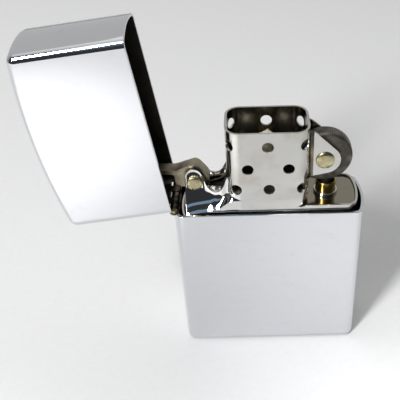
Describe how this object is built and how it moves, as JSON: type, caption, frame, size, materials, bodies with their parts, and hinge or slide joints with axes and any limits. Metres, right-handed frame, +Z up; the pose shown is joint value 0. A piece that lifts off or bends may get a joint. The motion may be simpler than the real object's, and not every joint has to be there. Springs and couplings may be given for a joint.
{
  "type": "pocket lighter",
  "caption": "Refillable pocket lighter with a hinged lid, a perforated chimney insert, a striker wheel and a sprung flint column, shown open.",
  "frame": {"origin": "centre of the case's flat bottom face", "axes": "+Z up the case, +X away from the lid's hinge, -Y towards the front face"},
  "size_m": [0.0625, 0.0126, 0.0728],
  "materials": {
    "chrome": "polished chrome plate, mirror bright with faint wear",
    "stainless": "bright formed stainless sheet",
    "nickel": "nickel plated, slightly yellow",
    "spring_steel": "bare spring steel",
    "wheel_steel": "dark hardened steel with cut teeth",
    "cam_steel": "dark bare steel",
    "flint_alloy": "dull dark alloy rod",
    "brass": "drawn brass",
    "wick_cord": "braided cotton cord",
    "cotton": "loose cotton",
    "felt": "pressed felt"
  },
  "bodies": {
    "case": {"case_shell": "chrome", "case_hinge_leaf": "chrome", "hinge_pin": "nickel"},
    "lid": {"lid_shell": "chrome", "lid_hinge_leaf": "chrome"},
    "insert": {"insert_shell": "stainless", "tank_plate": "stainless", "cam_bed": "stainless", "cam_spring": "spring_steel", "cam_spring_rivet": "nickel", "wheel_rivet": "nickel", "cam_rivet": "nickel", "flint_tube": "brass", "tube_collar": "stainless", "wick": "wick_cord", "cotton_pad_1": "cotton", "cotton_pad_2": "cotton", "cotton_pad_3": "cotton", "cotton_pad_4": "cotton", "cotton_pad_5": "cotton", "felt_pad": "felt"},
    "cam": {"cam_lever": "cam_steel"},
    "striker": {"flint_wheel": "wheel_steel"},
    "flint_column": {"flint": "flint_alloy", "spring_tip": "brass", "flint_spring": "spring_steel"},
    "screw": {"flint_screw": "brass"}
  },
  "joints": [
    {"name": "lid_hinge", "type": "hinge", "parent": "case", "child": "lid", "pos_m": [-0.01866, 0, 0.0354], "axis": [0, -1, 0], "range_deg": [-97.5, 0]},
    {"name": "insert_slide", "type": "slide", "parent": "case", "child": "insert", "axis": [0, 0, 1], "range_m": [0, 0.036]},
    {"name": "cam_pivot", "type": "hinge", "parent": "insert", "child": "cam", "pos_m": [-0.0144, 0, 0.04065], "axis": [0, -1, 0], "range_deg": [-76, 0]},
    {"name": "striker_spin", "type": "hinge", "parent": "insert", "child": "striker", "pos_m": [0.01075, 0, 0.04515], "axis": [0, 1, 0], "continuous": true},
    {"name": "flint_feed", "type": "slide", "parent": "insert", "child": "flint_column", "axis": [0, 0, 1], "range_m": [-0.003, 0], "stiffness_N_per_m": 60, "springref_m": 0.02, "deforming": ["flint_spring"]},
    {"name": "screw_turn", "type": "hinge", "parent": "insert", "child": "screw", "pos_m": [0.0113, 0, 0.0018], "axis": [0, 0, 1], "continuous": true}
  ],
  "couplings": [
    {"joint": "cam_pivot", "follows": "lid_hinge", "ratio": 0.77}
  ]
}
